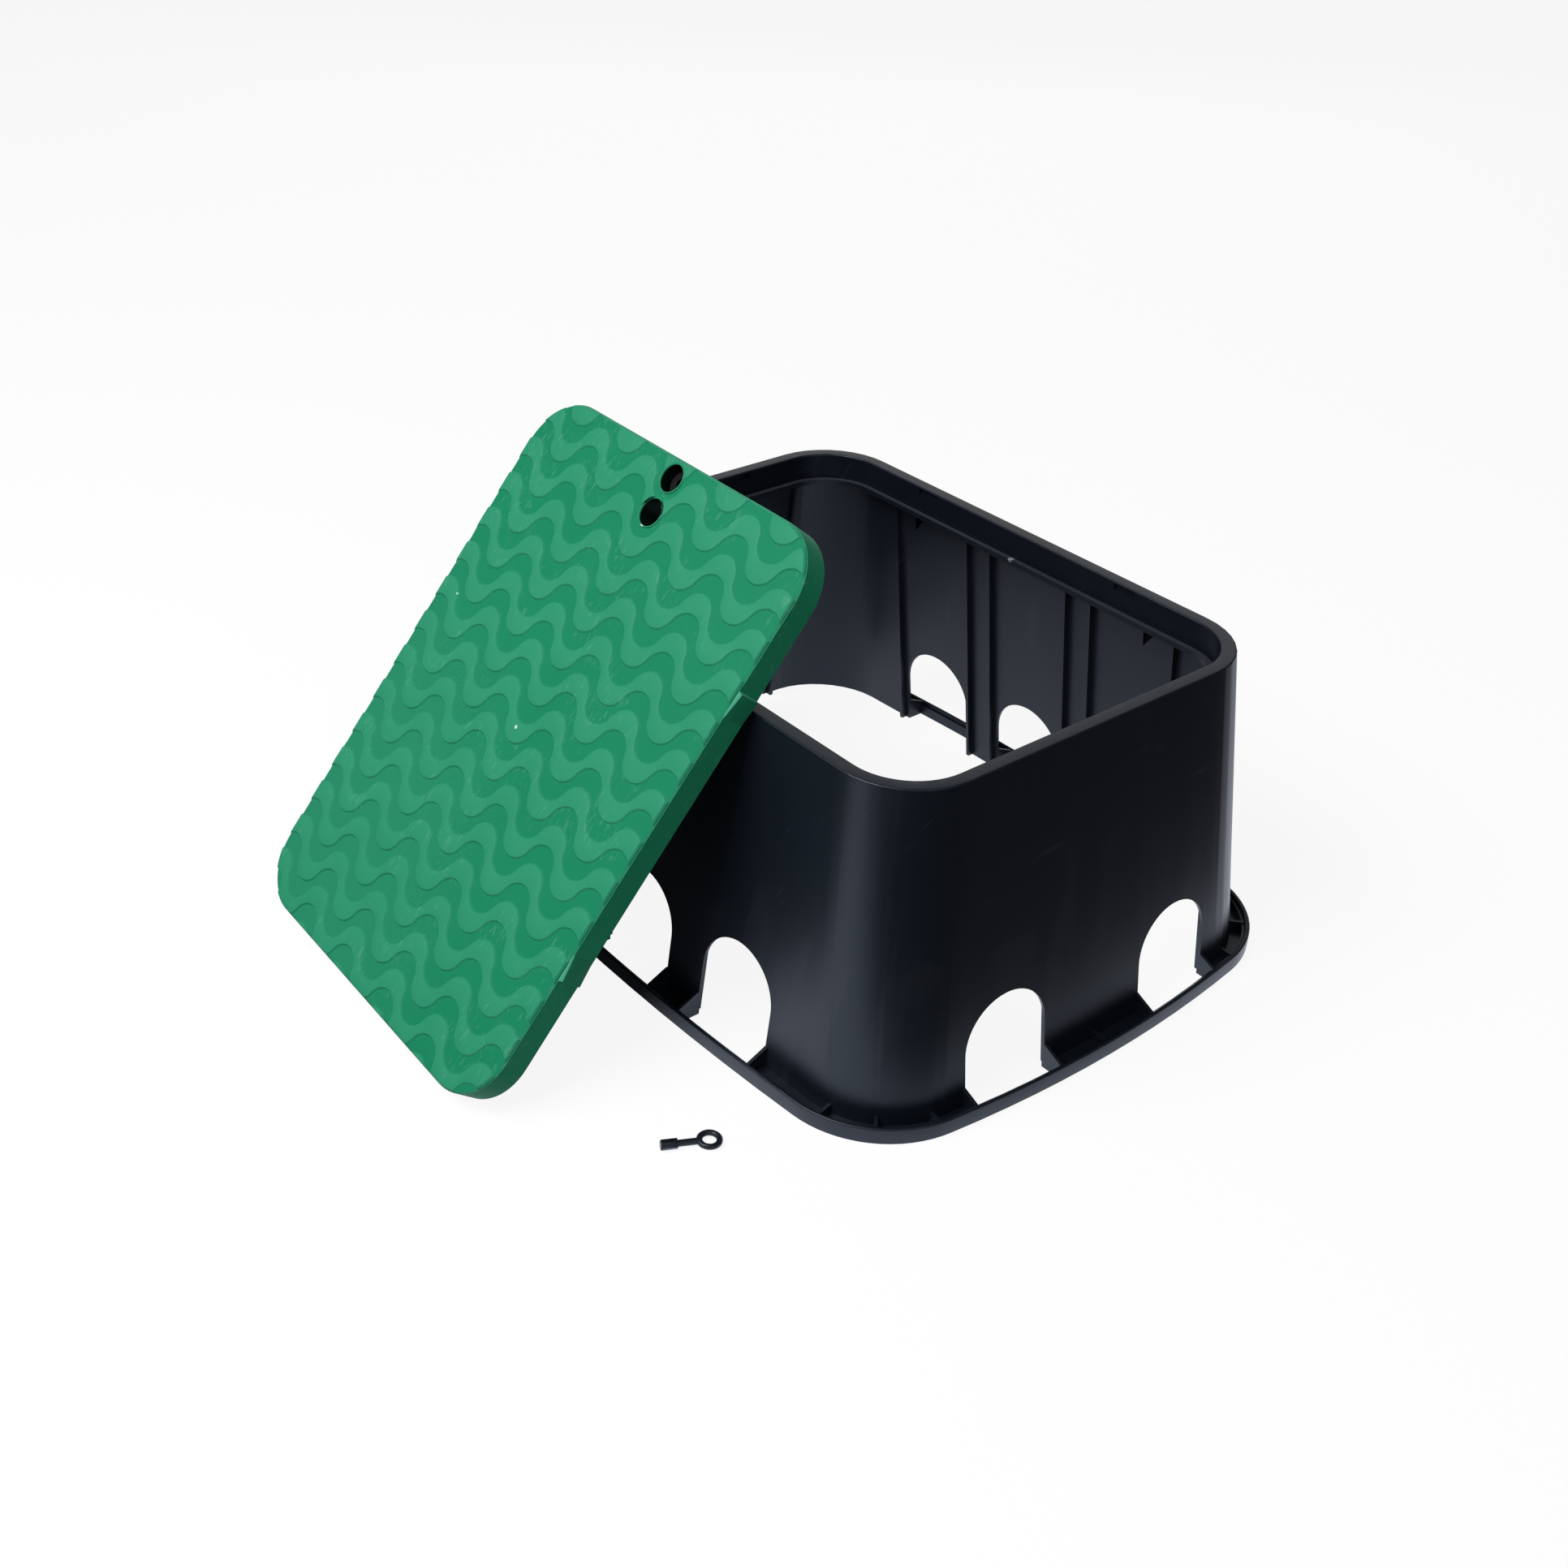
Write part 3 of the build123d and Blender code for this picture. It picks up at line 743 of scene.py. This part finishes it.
def insideConvex(points, outline):
    # Which points lie inside a convex outline that runs anticlockwise
    inside = np.ones(len(points), bool)
    for start, end in zip(outline, outline[1:] + outline[:1]):
        across = (end[0] - start[0]) * (points[:, 1] - start[1])
        along = (end[1] - start[1]) * (points[:, 0] - start[0])
        inside &= across - along > 0
    return inside


def cutFace(shape):
    # The lid's face divided along its edge, its two holes and every row of waves
    halfX, halfY = lidSize.x / 2, lidSize.y / 2
    inset = shape["edge"] - shape["rimGap"]
    radius = shape["cornerRadius"] - inset
    rim = roundedRectangle(halfX - inset, halfY - inset, radius, shape["cornerSteps"])
    reach = shape["wellRadius"] + shape["flank"] + shape["holeGap"]
    holes = [circlePoints(middle, reach, shape["holeSteps"]) for middle in holeMiddles]
    wave = waveLine(shape, halfX)
    points, edges = [], []

    def addRun(run, closed):
        first = len(points)
        points.extend(Vector(p) for p in run)
        edges.extend((first + i, first + i + 1) for i in range(len(run) - 1))
        if closed:
            edges.append((first + len(run) - 1, first))

    for outline in [rim, *holes]:
        addRun(outline, True)
    rows = math.ceil(lidSize.y / shape["rowPitch"])
    for row in range(-shape["rowsBelow"], rows):
        trough = shape["firstTrough"] - halfY + row * shape["rowPitch"]
        for lift in (0, shape["bandWidth"]):
            addRun([(x, y + trough + lift) for x, y in wave], False)
    cut = mathutils.geometry.delaunay_2d_cdt(points, edges, [], 0, shape["meetDistance"])
    spots = np.array([tuple(p) for p in cut[0]])
    corners = np.array([list(f) for f in cut[2]])
    centres = spots[corners].mean(axis=1)
    waveX, waveY = np.array(wave).T
    above = centres[:, 1] + halfY - shape["firstTrough"] - np.interp(centres[:, 0], waveX, waveY)
    onFace = insideConvex(centres, rim)
    for hole in holes:
        onFace &= ~insideConvex(centres, hole)
    inBand = onFace & (np.mod(above, shape["rowPitch"]) < shape["bandWidth"])
    return spots, corners[onFace], corners[inBand]


def edgeLoops(spots, faces, shape):
    # The closed loops round a set of triangles, in their own direction
    used = set()
    for face in faces:
        used.update((int(face[i]), int(face[(i + 1) % 3])) for i in range(3))
    following = {}
    for start, end in used:
        if (end, start) not in used:
            following.setdefault(start, []).append(end)
    loops = []
    while following:
        loop = [min(following)]
        while True:
            here = loop[-1]
            after = following[here].pop()
            if not following[here]:
                del following[here]
            if after == loop[0]:
                break
            loop.append(after)
        loops.append([Vector(spots[i]) for i in loop])
    kept = [loop for loop in loops if len(loop) >= shape["leastPoints"]]
    return [cleanLoop(loop, shape["nearestPoints"]) for loop in kept]


def cleanLoop(loop, nearest):
    # Points left nearer together than this would fold the rounded edge
    kept = [loop[0]]
    for point in loop[1:]:
        if (point - kept[-1]).length > nearest:
            kept.append(point)
    if (kept[-1] - kept[0]).length < nearest:
        kept.pop()
    return kept


def buildTread(shape, spots, bands):
    # Each band is a closed solid with a rounded upper edge, let into the plate
    form = bmesh.new()
    rounding = shape["rounding"]
    root = shape["bandRoot"]
    foot = shape["treadHeight"] + root
    profile = [(-shape["flank"], -foot), (-shape["flank"] * shape["flankFoot"], root - foot)]
    for turn in shape["roundTurns"]:
        t = math.radians(turn)
        profile.append((rounding * (1 - math.cos(t)), rounding * (math.sin(t) - 1)))
    for loop in edgeLoops(spots, bands, shape):
        count = len(loop)
        inward = []
        for i, point in enumerate(loop):
            before = (point - loop[i - 1]).normalized()
            after = (loop[(i + 1) % count] - point).normalized()
            side = Vector((-before.y - after.y, before.x + after.x))
            side.normalize()
            inward.append(side / max(shape["mitreLimit"], side.dot(Vector((-before.y, before.x)))))
        rings = []
        for inset, height in profile:
            rings.append([form.verts.new((*(p + inset * s), height)) for p, s in zip(loop, inward)])
        joinRings(form, rings)
        form.faces.new(rings[-1])
        form.faces.new(reversed(rings[0]))
    crispEdges(form, shape["treadSharp"])
    bmesh.ops.triangulate(form, faces=[f for f in form.faces if len(f.verts) > 4])
    return finishForm("lidTread", form, lidPlace)


lidFinishesAndPaintedLight = {
    "plain": lidPlastic,
    "plate": lidRecess,
    "hole": lidHoleShade,
    "edge": lidEdgeHighlight,
    "skirt": lidSkirtPaintedLight,
    "shade": skirtShadow,
}


def lidFinishOrPaintedLight(face, shape):
    # Which of the lid's finishes or painted light and shade a face of its shell has
    middle = face.calc_center_median()
    nearest = min((middle.xy - hole.xy).length for hole in holeMiddles)
    # Painted shade on the walls inside the holes
    if nearest < shape["wellRadius"] + shape["holeMargin"] and middle.z < -shape["edge"]:
        return "hole"
    # Painted highlight on the faces of the rounded top edge
    if middle.z > -shape["edge"] and nearest > shape["aroundHoles"]:
        return "edge"
    outward = middle.x * face.normal.x + middle.y * face.normal.y > shape["outwardLeast"]
    # Painted light on the skirt's sides, and a painted shadow in a band just under the top edge
    if outward and abs(face.normal.z) < shape["wallSlant"]:
        return "shade" if middle.z > -shape["shadeEnd"] else "skirt"
    return "plain"


# The four snap lugs: places along and out from the skirt, depths below the face
lugShape = {
    "near": 0.1125,
    "far": 0.1370,
    "proud": 0.0034,
    "slopeEnd": 0.0030,
    "crestEnd": 0.0014,
    "tipEnd": 0.0004,
    "tipShare": 0.2,
    "top": 0.0030,
    "foot": 0.0255,
    "bevel": 0.001,
    "topShare": 0.5,
    "footShare": 0.7,
    "root": 0.0015,
    # Painted highlight: how far from the end and below the top the lug's faces are paler
    "highlightEnd": 0.0016,
    "highlightTop": 0.0008,
    "sharpAngle": 28,
}
lugFinishesAndPaintedLight = {"skirt": lidSkirtPaintedLight, "highlight": lidEdgeHighlight}


def buildLugs(shape):
    # Four wedges on the long skirts, highest at their ends away from the lid's middle
    form = bmesh.new()
    near, far, proud = shape["near"], shape["far"], shape["proud"]
    outline = [
        (near, 0),
        (far - shape["slopeEnd"], proud),
        (far - shape["crestEnd"], proud),
        (far - shape["tipEnd"], shape["tipShare"] * proud),
        (far, 0),
    ]
    levels = [
        (shape["top"], shape["topShare"]),
        (shape["top"] + shape["bevel"], 1),
        (shape["foot"] - shape["bevel"], 1),
        (shape["foot"], shape["footShare"]),
    ]
    root = lidSize.x / 2 - shape["root"]
    for side in (1, -1):
        for end in (1, -1):
            rings = []
            for depth, share in levels:
                slope = [(lidSize.x / 2 + share * out, y) for y, out in outline]
                loop = [(root, near), *slope, (root, far)]
                rings.append([form.verts.new((side * x, end * y, -depth)) for x, y in loop])
            joinRings(form, rings)
            form.faces.new(rings[0])
            form.faces.new(rings[-1])
    bmesh.ops.recalc_face_normals(form, faces=form.faces)
    crispEdges(form, shape["sharpAngle"])
    # Painted highlight: the lugs' end faces and top bevels take the paler edge colour
    for face in form.faces:
        middle = face.calc_center_median()
        highlight = abs(middle.y) > far - shape["highlightEnd"] or middle.z > -shape["top"] - shape["highlightTop"]
        face.material_index = list(lugFinishesAndPaintedLight).index("highlight" if highlight else "skirt")
    return finishForm("lidLugs", form, lidPlace)


def buildLidShell(shape, spots, plate):
    # The lid node up to its plate, and the plate's own face over it
    mesh, form = openCopy("lid", lidPlace.inverted())
    outward = (0, 0, 1)
    everything = [*form.verts, *form.edges, *form.faces]
    top = (0, 0, -shape["treadHeight"] - shape["plateGap"])
    bmesh.ops.bisect_plane(form, geom=everything, plane_co=top, plane_no=outward, clear_outer=True)
    # The lugs are laid flush with the skirt, and a line is cut where its shaded edge ends
    for vert in form.verts:
        if abs(vert.co.x) > lidSize.x / 2:
            vert.co.x = math.copysign(lidSize.x / 2, vert.co.x)
    bmesh.ops.remove_doubles(form, verts=form.verts, dist=shape["flushMerge"])
    bmesh.ops.dissolve_degenerate(form, dist=mergeDistance, edges=form.edges)
    everything = [*form.verts, *form.edges, *form.faces]
    shade = (0, 0, -shape["shadeEnd"])
    bmesh.ops.bisect_plane(form, geom=everything, plane_co=shade, plane_no=outward)
    form.normal_update()
    slotOrder = list(lidFinishesAndPaintedLight)
    for face in form.faces:
        face.material_index = slotOrder.index(lidFinishOrPaintedLight(face, shape))
    corners = {i: form.verts.new((*spots[i], -shape["treadHeight"])) for i in np.unique(plate)}
    for face in plate:
        form.faces.new([corners[i] for i in face]).material_index = slotOrder.index("plate")
    crispEdges(form, shape["shellSharp"])
    form.to_mesh(mesh)
    form.free()
    mesh.name = "lidShell"
    mesh.transform(lidPlace)
    piece = addObject("lidShell", mesh)
    evenNormals(piece)
    return piece


# The rings round the lid's two holes
collarShape = {
    "width": 0.0014,
    "inset": 0.00003,
    "root": 0.0003,
    "topGap": 0.00004,
    "soft": 0.0004,
    "sharpAngle": 50,
}


def buildCollar(name, middle, shape):
    # Its outline of radius and height, turned about the hole's middle
    inner = lidShape["wellRadius"] - shape["inset"]
    outer = inner + shape["width"]
    low, high = -lidShape["treadHeight"] - shape["root"], -shape["topGap"]
    soft = shape["soft"]
    profile = [
        (inner, low),
        (outer, low),
        (outer, high - soft),
        (outer - soft, high),
        (inner + soft, high),
        (inner, high - soft),
    ]
    form = bmesh.new()
    circle = circlePoints((0, 0), 1, lidShape["holeSteps"])
    rings = [[form.verts.new((r * x, r * y, z)) for x, y in circle] for r, z in profile]
    joinRings(form, rings + rings[:1])
    crispEdges(form, shape["sharpAngle"])
    return finishForm(name, form, lidPlace @ Matrix.Translation((middle.x, middle.y, 0)))


boxShape = {
    "sharpAngle": 52,
    "pocketOffset": 0.156,
    "pocketReach": 0.0082,
    "pocketFrom": 0.2445,
    "pocketTo": 0.2655,
    "pocketArea": 2.5e-4,
    "squareOn": 0.9,
    "wallSlant": 0.3,
    "seatLevel": 0.279,
    "seatBand": 0.0008,
    "rimLevel": 0.3035,
}
boxFinishesAndPaintedLight = {
    "plain": boxPlastic,
    "pocket": pocketShade,
    "seatHighlight": seatPaintedHighlight,
    "recess": recessShade,
}
keyShape = {
    "sharpAngle": 50,
}


def boxFinishOrPaintedLight(face, shape):
    # Which of the box's finishes or painted shade and highlight a face has: the recess is the wall above the lid's
    # seat
    x, y = face.center.xy - boxMiddle.xy
    z = face.center.z
    # Painted shade on the floors of the small pockets
    deep = abs(face.normal.y) > shape["squareOn"] and face.area < shape["pocketArea"]
    if deep and abs(abs(x) - shape["pocketOffset"]) < shape["pocketReach"]:
        if shape["pocketFrom"] < z < shape["pocketTo"]:
            return "pocket"
    # Painted highlight on the seat's upward face
    if face.normal.z > shape["squareOn"] and abs(z - shape["seatLevel"]) < shape["seatBand"]:
        return "seatHighlight"
    inward = x * face.normal.x + y * face.normal.y < 0
    upright = abs(face.normal.z) < shape["wallSlant"]
    if inward and upright and shape["seatLevel"] < z < shape["rimLevel"]:
        return "recess"
    return "plain"


boxShell = smoothCopy("box_body", "boxShell", boxShape["sharpAngle"])
for face in boxShell.data.polygons:
    face.material_index = list(boxFinishesAndPaintedLight).index(boxFinishOrPaintedLight(face, boxShape))
placePiece(boxShell, "box", boxFinishesAndPaintedLight.values(), ["box_body"])
ringKey = smoothCopy("key", "ringKey", keyShape["sharpAngle"])
placePiece(ringKey, "box", [boxPlastic], ["key"])
print("box and key built:", len(boxShell.data.polygons), "faces in the box")

faceSpots, plateFaces, bandFaces = cutFace(lidShape)
lidShell = buildLidShell(lidShape, faceSpots, plateFaces)
placePiece(lidShell, "box", lidFinishesAndPaintedLight.values(), ["lid"])
lidLugs = buildLugs(lugShape)
placePiece(lidLugs, "box", lugFinishesAndPaintedLight.values(), ["lid"])
lidTread = buildTread(lidShape, faceSpots, bandFaces)
placePiece(lidTread, "box", [lidPlastic], ["lid"])
for name, middle in zip(("wellCollar", "liftCollar"), holeMiddles):
    collar = buildCollar(name, middle, collarShape)
    placePiece(collar, "box", [lidPlastic], ["lid"])
print("lid built:", len(lidTread.data.polygons), "faces in the tread")
